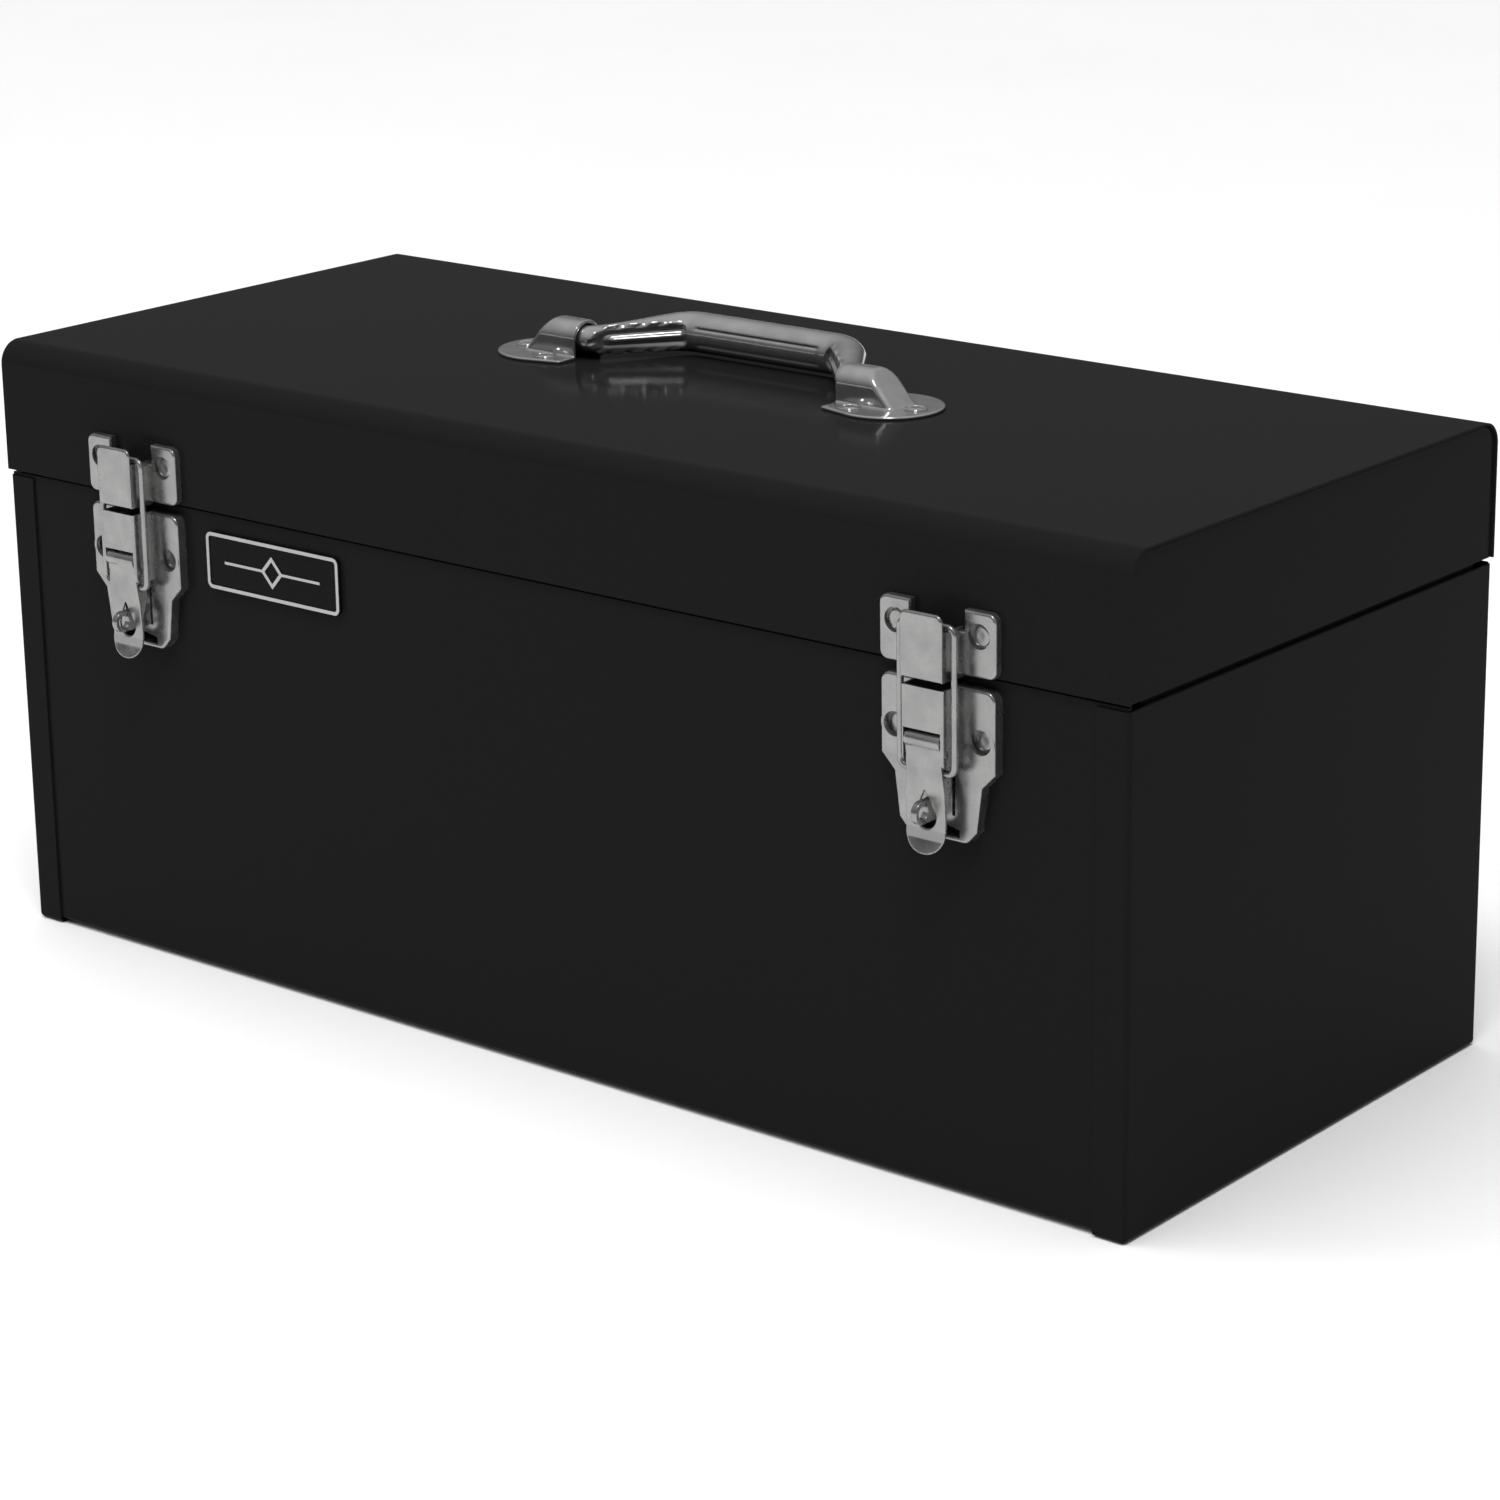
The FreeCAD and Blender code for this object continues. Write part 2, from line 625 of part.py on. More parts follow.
def make_lever(name, side):
    """The latch lever: a rolled top round its pin, a face, a padlock hole, a thumb tab."""
    body = new_body(f"{name}_lever")
    pad(body, "Y", "-half_depth - 12.5", "-half_depth - 4.4", mirrored([
        ("lever_wide", "lever_tip"),
        ("lever_wide", "141"),
        ("lever_half", "147"),
        ("lever_half", "pivot_height + lever_crown"),
    ]))
    round_edges(body, "7.2", along("Y", ("lever_wide", "lever_tip"), ("-lever_wide", "lever_tip")))
    roll_top = "pivot_height + lever_crown"
    roll_front = "-pivot_front - lever_roll"
    roll_back = "-pivot_front + lever_roll"
    cut(body, "X", "-lever_wide - 1", "lever_wide + 1", [
        (roll_front, "pivot_height + lever_crown + 1"),
        (roll_front, "155.8"),
        ("-half_depth - 10.5", "154.4"),
        ("-half_depth - 10.2", "149.4"),
        ("-half_depth - 9.9", "147"),
        ("-half_depth - 8.9", "130.5"),
        ("-half_depth - 9", "127.5"),
        ("-half_depth - 9.5", "124"),
        ("-half_depth - 11", "lever_tip - 1"),
        ("-half_depth - 13.5", "lever_tip - 1"),
        ("-half_depth - 13.5", "pivot_height + lever_crown + 1"),
    ])
    cut(body, "X", "-lever_wide - 1", "lever_wide + 1", [
        (roll_back, "pivot_height + lever_crown + 1"),
        (roll_back, "150.6"),
        ("-half_depth - 5", "150"),
        ("-half_depth - 5", "143.5"),
        ("-half_depth - 8", "135"),
        ("-half_depth - 7.9", "130.5"),
        ("-half_depth - 8", "127.5"),
        ("-half_depth - 8.5", "124"),
        ("-half_depth - 10", "lever_tip - 1"),
        ("-half_depth - 3", "lever_tip - 1"),
        ("-half_depth - 3", "pivot_height + lever_crown + 1"),
    ])
    cut(body, "X", "-lever_half + hat_wall", "lever_half - hat_wall", [
        ("-half_depth - 3", "150.1"),
        ("-half_depth - 8.9", "150.1"),
        ("-half_depth - 8.9", "147"),
        ("-half_depth - 7.9", "130.5"),
        ("-half_depth - 3", "130.5"),
    ])
    round_edges(body, "2.6", along(
        "X", (roll_front, roll_top), (roll_back, roll_top)))
    cut(body, "Y", "-half_depth - 13", "-half_depth - 6", ("0", "131.6", "4.1"))
    cut(body, "Y", "-half_depth - 13", "-half_depth - 6", [
        ("-3.67", "133.4"), ("3.67", "133.4"), ("0", "140.8")])
    cut(body, "X", "-lever_half - 1", "lever_half + 1",
        ("-pivot_front", "pivot_height", "pivot_bore"),
        ("-bail_front", "bail_low", "bail_bore"))
    shift(body, f"{'-' if side < 0 else ''}Sizes.latch_middle")


def make_lever_pin(name, side):
    body = new_body(f"{name}_lever_pin")
    pad(body, "X", "-hat_half - 0.4", "hat_half + 0.4",
        ("-pivot_front", "pivot_height", "pivot_radius"))
    shift(body, f"{'-' if side < 0 else ''}Sizes.latch_middle")


def wire_run(name, start, end):
    """A straight run of the bail's wire."""
    run = primitive("Cylinder", name, Radius="bail_radius")
    run.Height = start.distanceToPoint(end)
    run.Placement = Placement(start, Rotation(Vector(0, 0, 1), end - start))
    return run


def wire_bend(name, centre, first):
    """A quarter bend of the wire about Y, beginning at an angle from +X towards -Z."""
    bend = primitive("Torus", name, Radius1="bail_bend", Radius2="bail_radius")
    bend.Angle3 = 90
    level = Rotation(Vector(1, 0, 0), 90)
    bend.Placement = Placement(centre, Rotation(Vector(0, 1, 0), first).multiply(level))
    return bend


def make_bail(name, side):
    """The wire loop that pulls the keeper down: its ends hook into the lever."""
    front = -size("bail_front")
    half, bend = size("bail_half"), size("bail_bend")
    low, high, end = size("bail_low"), size("bail_high"), size("bail_end")
    label = f"{name}_bail"
    parts = [wire_run(f"{label}_top", Vector(bend - half, front, high),
                      Vector(half - bend, front, high))]
    for hand, way in SIDES:
        parts += [
            wire_run(f"{label}_{hand}_leg", Vector(way * half, front, low + bend),
                     Vector(way * half, front, high - bend)),
            wire_run(f"{label}_{hand}_hook", Vector(way * end, front, low),
                     Vector(way * (half - bend), front, low)),
            wire_bend(f"{label}_{hand}_upper", Vector(way * (half - bend), front, high - bend),
                      0 if way > 0 else -90),
            wire_bend(f"{label}_{hand}_lower", Vector(way * (half - bend), front, low + bend),
                      90 if way > 0 else 180),
        ]
    bail = doc.addObject("Part::MultiFuse", label)
    bail.Shapes = parts
    bail.Label = label
    shift(bail, f"{'-' if side < 0 else ''}Sizes.latch_middle")
    exported.append(bail)


# ----------------------------------------------------- badge and handle

def make_badge():
    """A plain black plate with a bright raised border and a diamond-and-line motif."""
    face = "-wrap_face - weld_gap - badge_thick"
    body = new_body("badge_plate")
    pad(body, "Y", face, "-wrap_face - weld_gap", rectangle(
        ("badge_left", "badge_bottom"), ("badge_right", "badge_top")))
    round_edges(body, "2.5", lambda edge: edge.Length < 2 and along(
        "Y", ("badge_left", "badge_bottom"), ("badge_left", "badge_top"),
        ("badge_right", "badge_bottom"), ("badge_right", "badge_top"))(edge))

    body = new_body("badge_border")
    front = f"{face} - badge_relief"
    pad(body, "Y", front, face, rectangle(
        ("badge_left", "badge_bottom"), ("badge_right", "badge_top")))
    round_edges(body, "2.5", along(
        "Y", ("badge_left", "badge_bottom"), ("badge_left", "badge_top"),
        ("badge_right", "badge_bottom"), ("badge_right", "badge_top")))
    cut(body, "Y", f"{front} - 1", face, rectangle(
        ("badge_left + badge_border", "badge_bottom + badge_border"),
        ("badge_right - badge_border", "badge_top - badge_border")))
    round_edges(body, "1.3", along(
        "Y", ("badge_left + badge_border", "badge_bottom + badge_border"),
        ("badge_left + badge_border", "badge_top - badge_border"),
        ("badge_right - badge_border", "badge_bottom + badge_border"),
        ("badge_right - badge_border", "badge_top - badge_border")))

    body = new_body("badge_motif")
    pad(body, "Y", front, face, mirrored([
        ("0", "154.5"), ("5", "160"), ("24", "160"), ("24", "161"), ("5", "161"),
        ("0", "166.5")]))
    cut(body, "Y", f"{front} - 1", face, mirrored([
        ("0", "156.4"), ("3.7", "160.5"), ("0", "164.6")]))
    body.setExpression("Placement.Base.x", "(Sizes.badge_left + Sizes.badge_right) / 2")


def make_bracket(name, side):
    """A handle bracket: a flange, straight at the mouth, and an arched hood with a sloped end."""
    body = new_body(f"{name}_bracket")
    top = "box_height + weld_gap"
    pad(body, "Z", top, f"{top} + plate", ("bracket_middle", "0", "bracket_radius"))
    pad(body, "Z", top, f"{top} + plate", [
        ("bracket_mouth - 2", "-bracket_mouth_half"),
        ("bracket_wide", "-bracket_wide_half"),
        ("bracket_wide", "bracket_wide_half"),
        ("bracket_mouth - 2", "bracket_mouth_half"),
    ])
    cut(body, "Z", top, f"{top} + plate + 1", rectangle(
        ("bracket_mouth - 10", "-bracket_radius - 1"), ("bracket_mouth", "bracket_radius + 1")))
    pad(body, "Y", "-hood_half", "hood_half", [
        ("bracket_mouth", top),
        ("hood_end", top),
        ("hood_end", f"{top} + plate"),
        ("hood_crest", f"{top} + hood_height"),
        ("bracket_mouth", f"{top} + hood_height"),
    ])
    round_edges(body, "hood_shoulder", along(
        "X", ("hood_half", f"{top} + hood_height"), ("-hood_half", f"{top} + hood_height")))
    round_edges(body, "hood_ridge", on_hood_slope)
    cut(body, "X", "bracket_mouth - 1", "hood_cavity", rectangle(
        ("-hood_half + plate", f"{top} - 1"), ("hood_half - plate", f"{top} + hood_spring")))
    cut(body, "X", "bracket_mouth - 1", "hood_cavity",
        ("0", f"{top} + hood_spring", "hood_half - plate"))
    cut(body, "Z", top, f"{top} + plate + 1",
        ("bracket_rivet_near", "bracket_rivet_side", "rivet_bore"),
        ("bracket_rivet_near", "-bracket_rivet_side", "rivet_bore"),
        ("bracket_rivet_far", "0", "rivet_bore"))
    turn_about(body, side)


def on_hood_slope(edge):
    """Whether an edge bounds the hood's sloped end, above the flange."""
    top = size("box_height + weld_gap")
    run = size("hood_end - hood_crest")
    fall = size("hood_height - plate")

    def off_slope(point):
        return abs((point.x - size("hood_crest")) * fall
                   + (point.z - top - size("hood_height")) * run)

    middle = edge.CenterOfMass
    return (all(off_slope(v.Point) < 0.1 for v in edge.Vertexes)
            and middle.z > top + size("plate") + 0.5)


def primitive(kind, name, **values):
    """A Part primitive whose sizes are bound to the sheet."""
    shape = doc.addObject(f"Part::{kind}", name)
    for key, text in values.items():
        shape.setExpression(key, formula(text))
    return shape


def handle_solid(name, shrink):
    """The handle's round outline, thinner all round by shrink: grip, legs and feet."""
    grip = primitive("Cylinder", f"{name}_grip", Radius=f"grip_radius - {shrink}",
                     Height="grip_half * 2")
    grip.Placement = Placement(
        Vector(-size("grip_half"), size("handle_reach"), 0), Rotation(Vector(0, 1, 0), 90))
    parts = [grip]
    for hand, side in SIDES:
        corner = Vector(side * size("grip_half"), size("handle_reach"), 0)
        foot = Vector(side * size("foot_half"), 0, 0)
        leg = primitive("Cone", f"{name}_{hand}_leg", Radius1=f"grip_radius - {shrink}",
                        Radius2=f"foot_radius - {shrink}")
        leg.Height = corner.distanceToPoint(foot)
        leg.Placement = Placement(corner, Rotation(Vector(0, 0, 1), foot - corner))
        for place, radius, label in ((corner, "grip_radius", "corner"), (foot, "foot_radius", "heel")):
            ball = primitive("Sphere", f"{name}_{hand}_{label}", Radius=f"{radius} - {shrink}")
            ball.Placement = Placement(place, Rotation())
            parts.append(ball)
        stub = primitive("Cylinder", f"{name}_{hand}_foot", Radius=f"foot_radius - {shrink}",
                         Height=f"foot_end - foot_half - {shrink}")
        stub.Placement = Placement(foot, Rotation(Vector(0, 0, 1), Vector(side, 0, 0)))
        parts += [leg, stub]
    whole = doc.addObject("Part::MultiFuse", name)
    whole.Shapes = parts
    return whole


def make_handle():
    """A hollow pressed handle: its feet turn in the two hoods, and its underside is open."""
    outer = handle_solid("handle_outside", "0")
    inner = handle_solid("handle_inside", "handle_wall")
    slot = primitive("Box", "handle_slot", Length="grip_half * 2", Width="6", Height="grip_radius")
    slot.Placement = Placement(
        Vector(-size("grip_half"), size("handle_reach") - 3, -size("grip_radius")), Rotation())
    hollow = doc.addObject("Part::MultiFuse", "handle_hollow")
    hollow.Shapes = [inner, slot]
    handle = doc.addObject("Part::Cut", "handle")
    handle.Base, handle.Tool = outer, hollow
    handle.Label = "handle"
    handle.Placement = Placement(
        Vector(0, 0, size("box_height + handle_lift")),
        Rotation(Vector(1, 0, 0), size("handle_tilt")))
    exported.append(handle)


def rivet(name, place, facing, sheet_depth):
    """One rivet: a low domed head on the outside, its shank, and the upset tail inside."""
    spin = Rotation(Vector(0, 0, 1), facing)
    head = primitive("Cone", f"{name}_head", Radius1="rivet_head", Radius2="rivet_head - 1.4",
                     Height="1.1")
    head.Placement = Placement(place + facing * size("weld_gap"), spin)
    shank = primitive("Cylinder", f"{name}_shank", Radius="rivet_radius")
    shank.Height = sheet_depth + 1
    shank.Placement = Placement(place - facing * (sheet_depth + 0.5), spin)
    tail = primitive("Cylinder", f"{name}_tail", Radius="rivet_head - 0.6", Height="0.8")
    tail.Placement = Placement(place - facing * (sheet_depth + 0.8 + size("weld_gap")), spin)
    whole = doc.addObject("Part::MultiFuse", name)
    whole.Shapes = [head, shank, tail]
    return whole


def make_rivets():
    """Three groups of rivets: keepers on the lid, latch bases on the case, brackets."""
    front, up = Vector(0, -1, 0), Vector(0, 0, 1)
    groups = {"keeper_rivets": [], "latch_base_rivets": [], "bracket_rivets": []}
    through = size("steel + plate + weld_gap")
    for hand, side in SIDES:
        for i, away in enumerate((-1, 1)):
            across = side * size("latch_middle")
            groups["keeper_rivets"].append(rivet(
                f"keeper_rivet_{hand}_{i}",
                Vector(across + away * size("keeper_rivet_across"),
                       -size("half_depth + plate"), size("keeper_rivet_height")),
                front, through))
            groups["latch_base_rivets"].append(rivet(
                f"base_rivet_{hand}_{i}",
                Vector(across + away * size("base_rivet_across"),
                       -size("wrap_face + plate"), size("base_rivet_height")),
                front, through))
        for i, (across, aside) in enumerate((
                ("bracket_rivet_near", "bracket_rivet_side"),
                ("bracket_rivet_near", "-bracket_rivet_side"),
                ("bracket_rivet_far", "0"))):
            groups["bracket_rivets"].append(rivet(
                f"bracket_rivet_{hand}_{i}",
                Vector(side * size(across), size(aside),
                       size("box_height + weld_gap + plate")),
                up, through + size("weld_gap")))
    for name, rivets in groups.items():
        group = doc.addObject("Part::Compound", name)
        group.Links = rivets
        group.Label = name
        exported.append(group)


# ---------------------------------------------------------------- tray

def make_ledge(name, side):
    """An angle welded inside the end pan, which the tray sits on."""
    body = new_body(f"{name}_tray_ledge")
    pad(body, "Y", "-ledge_half", "ledge_half", [
        ("ledge_inner", "ledge_top - steel"),
        ("wrap_end - steel", "ledge_top - steel"),
        ("wrap_end - steel", "ledge_top - 14"),
        ("wrap_end", "ledge_top - 14"),
        ("wrap_end", "ledge_top"),
        ("ledge_inner", "ledge_top"),
    ])
    turn_about(body, side)


def make_tray():
    """A tray of one folded wrap, two end plates, a middle divider and a grip."""
    body = new_body("tray_wrap")
    pad(body, "X", "-tray_half_length", "tray_half_length", [
        ("-tray_half_depth", "tray_bottom"),
        ("tray_half_depth", "tray_bottom"),
        ("tray_half_depth", "tray_top"),
        ("tray_half_depth - 4", "tray_top"),
        ("tray_half_depth - 4", "tray_top - tray_steel"),
        ("tray_half_depth - tray_steel", "tray_top - tray_steel"),
        ("tray_half_depth - tray_steel", "tray_bottom + tray_steel"),
        ("-tray_half_depth + tray_steel", "tray_bottom + tray_steel"),
        ("-tray_half_depth + tray_steel", "tray_top - tray_steel"),
        ("-tray_half_depth + 4", "tray_top - tray_steel"),
        ("-tray_half_depth + 4", "tray_top"),
        ("-tray_half_depth", "tray_top"),
    ])
    inside = "tray_half_depth - tray_steel - weld_gap"
    floor = "tray_bottom + tray_steel + weld_gap"
    for name, side in SIDES:
        body = new_body(f"{name}_tray_end")
        pad(body, "X", "tray_half_length - 6", "tray_half_length - 5.2", rectangle(
            (negative(inside), floor), (inside, "tray_top - tray_steel - 0.2")))
        pad(body, "X", "tray_half_length - 5.3", "tray_half_length", rectangle(
            (negative(inside), floor), (inside, f"{floor} + tray_steel")))
        turn_about(body, side)
    body = new_body("tray_divider")
    pad(body, "Y", "-tray_steel", "0", mirrored([
        ("tray_half_length - 6.2", floor),
        ("tray_half_length - 6.2", "tray_top - 2"),
        ("78", "tray_top - 2"),
        ("62", "tray_handle_top"),
    ]))
    cut(body, "Y", "-tray_steel - 1", "1", mirrored([
        ("50", "tray_handle_top - 29"), ("50", "tray_handle_top - 6")]))
    round_edges(body, "8", along(
        "Y", ("50", "tray_handle_top - 29"), ("50", "tray_handle_top - 6"),
        ("-50", "tray_handle_top - 29"), ("-50", "tray_handle_top - 6")))
    body = new_body("tray_grip")
    pad(body, "X", "-48", "48", ("-tray_steel + 0.4", "tray_handle_top - 1", "4.4"))
    cut(body, "X", "-49", "49", rectangle(
        ("-tray_steel - weld_gap", "tray_handle_top - 7"), ("weld_gap", "tray_handle_top + 0.1")))


# ----------------------------------------------------------- the whole box

make_body_wrap()
make_case_leaf()
make_hinge_pin()
make_lid_wrap()
make_lid_leaf()
for name, side in SIDES:
    make_end_panel(name, side)
    make_lid_end(name, side)
    make_keeper(name, side)
    make_latch_base(name, side)
    make_staple(name, side)
    make_lever_pin(name, side)
    make_lever(name, side)
    make_bail(name, side)
    make_bracket(name, side)
    make_ledge(name, side)
make_badge()
make_handle()
make_rivets()
make_tray()
doc.recompute()

for item in doc.Objects:
    if "Invalid" in item.State or "Error" in item.State:
        raise RuntimeError(f"{item.Name} did not build")
for item in exported:
    if item.Shape.isNull() or not item.Shape.isValid():
        raise RuntimeError(f"{item.Label} has no sound shape")
for item in exported:
    item.Shape.exportStep(f"parts/{item.Label}.step")
    print(item.Label, len(item.Shape.Solids), round(item.Shape.Volume))
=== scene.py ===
"""The looks of a flat-top steel tool box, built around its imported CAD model. Metres, +Z up."""

import json
import math

import bmesh
import bpy
from mathutils import Matrix, Vector


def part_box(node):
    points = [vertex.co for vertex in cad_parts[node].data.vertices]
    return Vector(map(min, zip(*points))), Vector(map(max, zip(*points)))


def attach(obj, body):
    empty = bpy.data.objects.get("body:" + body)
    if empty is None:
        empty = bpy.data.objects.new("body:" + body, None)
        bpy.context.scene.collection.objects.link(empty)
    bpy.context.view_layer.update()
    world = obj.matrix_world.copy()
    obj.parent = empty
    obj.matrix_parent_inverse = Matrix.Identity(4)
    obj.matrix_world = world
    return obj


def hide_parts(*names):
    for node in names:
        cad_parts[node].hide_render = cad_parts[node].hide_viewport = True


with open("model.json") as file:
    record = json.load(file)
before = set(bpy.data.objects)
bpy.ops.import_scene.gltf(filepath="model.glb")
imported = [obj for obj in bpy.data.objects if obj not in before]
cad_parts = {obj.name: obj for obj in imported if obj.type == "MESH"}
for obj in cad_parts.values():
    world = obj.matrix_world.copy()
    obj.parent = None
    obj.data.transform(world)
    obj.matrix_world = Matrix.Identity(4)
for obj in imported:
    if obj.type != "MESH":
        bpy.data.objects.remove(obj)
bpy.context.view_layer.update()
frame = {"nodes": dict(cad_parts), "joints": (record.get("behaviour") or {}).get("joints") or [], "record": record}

MM = 0.001
HANDS = (("left", -1), ("right", 1))


# ---------------------------------------------------------------- materials

class Nodes:
    """A material's node tree, with short calls for the nodes that the finishes share."""

    def __init__(self, name):
        self.material = bpy.data.materials.new(name)
        self.material.use_nodes = True
        self.tree = self.material.node_tree
        self.shader = self.tree.nodes["Principled BSDF"]
        self.place = self.add("ShaderNodeTexCoord").outputs["Object"]

    def add(self, kind, inputs=None, **settings):
        node = self.tree.nodes.new(kind)
        for key, value in settings.items():
            setattr(node, key, value)
        for key, value in (inputs or {}).items():
            if isinstance(value, bpy.types.NodeSocket):
                self.tree.links.new(value, node.inputs[key])
            else:
                node.inputs[key].default_value = value
        return node

    def fixed(self, **values):
        """Values that are the same all over, set on the shader's own sockets."""
        for key, value in values.items():
            self.shader.inputs[key.replace("_", " ")].default_value = value

    def noise(self, scale, detail=3.0, stretch=None):
        """Noise in 0..1; scale is its number of features per metre, stretch its squash per axis."""
        place = self.place
        if stretch:
            place = self.add("ShaderNodeMapping", {"Vector": place, "Scale": stretch}).outputs[0]
        return self.add("ShaderNodeTexNoise",
                        {"Vector": place, "Scale": scale, "Detail": detail}).outputs[0]

    def between(self, factor, low, high, start=0.3, end=0.7):
        """A number that runs from low to high as factor runs from start to end."""
        return self.add("ShaderNodeMapRange", {
            "Value": factor, "From Min": start, "From Max": end,
            "To Min": low, "To Max": high}).outputs[0]

    def colour(self, factor, low, high, start=0.3, end=0.7):
        """A colour that runs from low to high as factor runs from start to end."""
        ramp = self.add("ShaderNodeValToRGB", {"Fac": factor})
        ramp.color_ramp.elements[0].position = start
        ramp.color_ramp.elements[1].position = end
        ramp.color_ramp.elements[0].color = (*low, 1)
        ramp.color_ramp.elements[1].color = (*high, 1)
        return ramp.outputs[0]

    def join(self, socket, value):
        self.tree.links.new(value, self.shader.inputs[socket])

    def bump(self, height, strength, distance, under=None):
        """A bump on the surface, on top of an earlier one, distance metres high."""
        inputs = {"Height": height, "Strength": strength, "Distance": distance}
        if under:
            inputs["Normal"] = under
        return self.add("ShaderNodeBump", inputs).outputs[0]


def grey(level, tint=1.0):
    """A grey whose blue is scaled by tint."""
    return (level, level, level * tint)


def black_paint(name, dark=0.0100, light=0.0135, smooth=0.09, rough=0.13, scuffs=False):
    """Baked enamel: near black, semi-gloss, with orange peel and a fine grain in it."""
    paint = Nodes(name)
    grain = paint.noise(scale=2600, detail=2)
    broad = paint.noise(scale=9)
    paint.join("Base Color", paint.colour(grain, grey(dark), grey(light, 1.04)))
    paint.join("Roughness", paint.between(broad, smooth, rough))
    paint.fixed(IOR=1.06)
    peel = paint.bump(paint.noise(scale=420, detail=2), strength=0.10, distance=0.12 * MM)
    fine = paint.bump(grain, strength=0.12, distance=0.03 * MM, under=peel)
    if scuffs:
        lines = paint.noise(scale=60, detail=6, stretch=(1, 14, 3))
        scratches = paint.between(lines, low=0, high=1, start=0.62, end=0.7)
        fine = paint.bump(scratches, strength=0.25, distance=0.05 * MM, under=fine)
    paint.join("Normal", fine)
    return paint.material


def plated(name, low, high, smooth, rough, brushed=0.1, dents=0.12, sheer=1.0,
           stretch=(1, 1, 12)):
    """Plated steel of two greys and two roughnesses; sheer is how much of it is bare metal."""
    metal = Nodes(name)
    metal.fixed(Metallic=sheer)
    cloudy = metal.noise(scale=140, detail=5)
    lines = metal.noise(scale=900, detail=4, stretch=stretch)
    metal.join("Base Color", metal.colour(cloudy, grey(low), grey(high, 0.985)))
    metal.join("Roughness", metal.between(cloudy, smooth, rough))
    dented = metal.bump(metal.noise(scale=260, detail=2), strength=dents, distance=0.1 * MM)
    metal.join("Normal", metal.bump(lines, strength=brushed, distance=0.03 * MM, under=dented))
    return metal.material


def badge_enamel():
    """The badge's own black, glossier than the box."""
    enamel = Nodes("badge_enamel")
    grain = enamel.noise(scale=1500)
    enamel.join("Base Color", enamel.colour(grain, grey(0.004), grey(0.007)))
    enamel.join("Roughness", enamel.between(enamel.noise(scale=60), low=0.12, high=0.2))
    enamel.fixed(IOR=1.12)
    enamel.join("Normal", enamel.bump(grain, strength=0.05, distance=0.03 * MM))
    return enamel.material


def floor_paper():
    """Plain near-white studio paper."""
    paper = Nodes("floor_paper")
    paper.join("Base Color", paper.colour(paper.noise(scale=3), grey(0.95), grey(0.97, 0.995)))
    paper.join("Roughness", paper.between(paper.noise(scale=40), low=0.7, high=0.8))
    paper.join("Normal", paper.bump(paper.noise(scale=300), strength=0.05, distance=0.2 * MM))
    return paper.material


finishes = {
    "black_paint": black_paint("black_enamel"),
    "tray_paint": black_paint("tray_enamel", dark=0.012, light=0.018, smooth=0.22, rough=0.34,
                              scuffs=True),
    "nickel_plate": plated("bright_nickel", low=0.27, high=0.36, smooth=0.19, rough=0.32,
                           sheer=0.88),
    "chrome_plate": plated("polished_chrome", low=0.52, high=0.62, smooth=0.12, rough=0.18,
                           brushed=0.03, dents=0.05, sheer=0.92),
    "zinc_steel": plated("zinc_plated_steel", low=0.40, high=0.52, smooth=0.3, rough=0.42,
                         stretch=(1, 12, 12)),
    "badge_black": badge_enamel(),
    "badge_silver": plated("satin_silver", low=0.39, high=0.47, smooth=0.3, rough=0.4),
}


def paint_cad_nodes():
    """Every carried-over CAD node takes the finish of its material slot."""
    for entry in frame["record"]["subparts"]:
        mesh = frame["nodes"][entry["node"]].data
        for i in range(len(mesh.materials)):
            mesh.materials[i] = finishes[entry["material_slot"]]


# ---------------------------------------------------------------- handle

# Its outline is three straight runs and two feet, measured from the middle of the feet's axis.
GRIP_HALF = 36.5 * MM       # where the grip meets the legs
FOOT_HALF = 59.5 * MM       # where the legs meet the feet
FOOT_END = 72 * MM
REACH = 28 * MM             # from the feet's axis to the grip's
GRIP_BEND = 12 * MM         # radii of the bends
HEEL_BEND = 6 * MM
GRIP_RADIUS = 7.4 * MM
FOOT_RADIUS = 4.9 * MM
TAPER_BEFORE = 6 * MM       # the taper starts this far inside the grip's end
TAPER_AFTER = 5 * MM        # and stops this far past the recess
# It sits this far to the right of the CAD handle. With that, and with a FOOT_HALF 1.5 mm more
# than the CAD handle's, the right leg cuts up to 0.7 mm into its hood's mouth.
SLID = 1.5 * MM
TILT = math.radians(2.7)    # how far it leans up from level at rest
LINE_STEP = 0.55 * MM
AROUND = 120                # points round its section
PRESSED_HALF = math.pi * 0.6    # how far round from the inner side the pressing reaches

# The recess in each leg.
RECESS_START = 1.5 * MM     # past the grip's end
RECESS_STOP = 5.5 * MM      # short of the foot
RECESS_HALF = 4.6 * MM
RECESS_FLAT = 0.6           # flat part of the half width
RECESS_DEPTH = 1.5 * MM
RIB_INSET = 1.5 * MM
RIB_CORE = 0.5 * MM
RIB_EDGE = 1.7 * MM
RIB_HEIGHT = 1.25 * MM
BEAD_PLACE = 1.2            # in half widths from the recess's middle
BEAD_WIDTH = 0.7 * MM
BEAD_HEIGHT = 1.15 * MM
NOTCH_ALONG = 1.2 * MM      # lengths per radian of the wave that cuts the notches
NOTCH_ACROSS = 0.6 * MM
NOTCH_FROM, NOTCH_TO = -0.6, 0
NOTCH_LEFT = 0.35           # the share of the bead's height left in a notch

# The creases in the grip.
CREASES_SHORT = 7 * MM      # they stop this far inside the grip's end
CREASE_FADE = 2.5 * MM
CREASE_PLACE = 3.4 * MM
CREASE_WIDTH = 0.42 * MM
CREASE_DEPTH = 0.75 * MM
STRIP_EDGE = 2.9 * MM
STRIP_DEPTH = 0.45 * MM


def smooth_step(value, start, end):
    """0 before start, 1 past end, and an eased run between them."""
    t = min(max((value - start) / (end - start), 0.0), 1.0)
    return t * t * (3 - 2 * t)


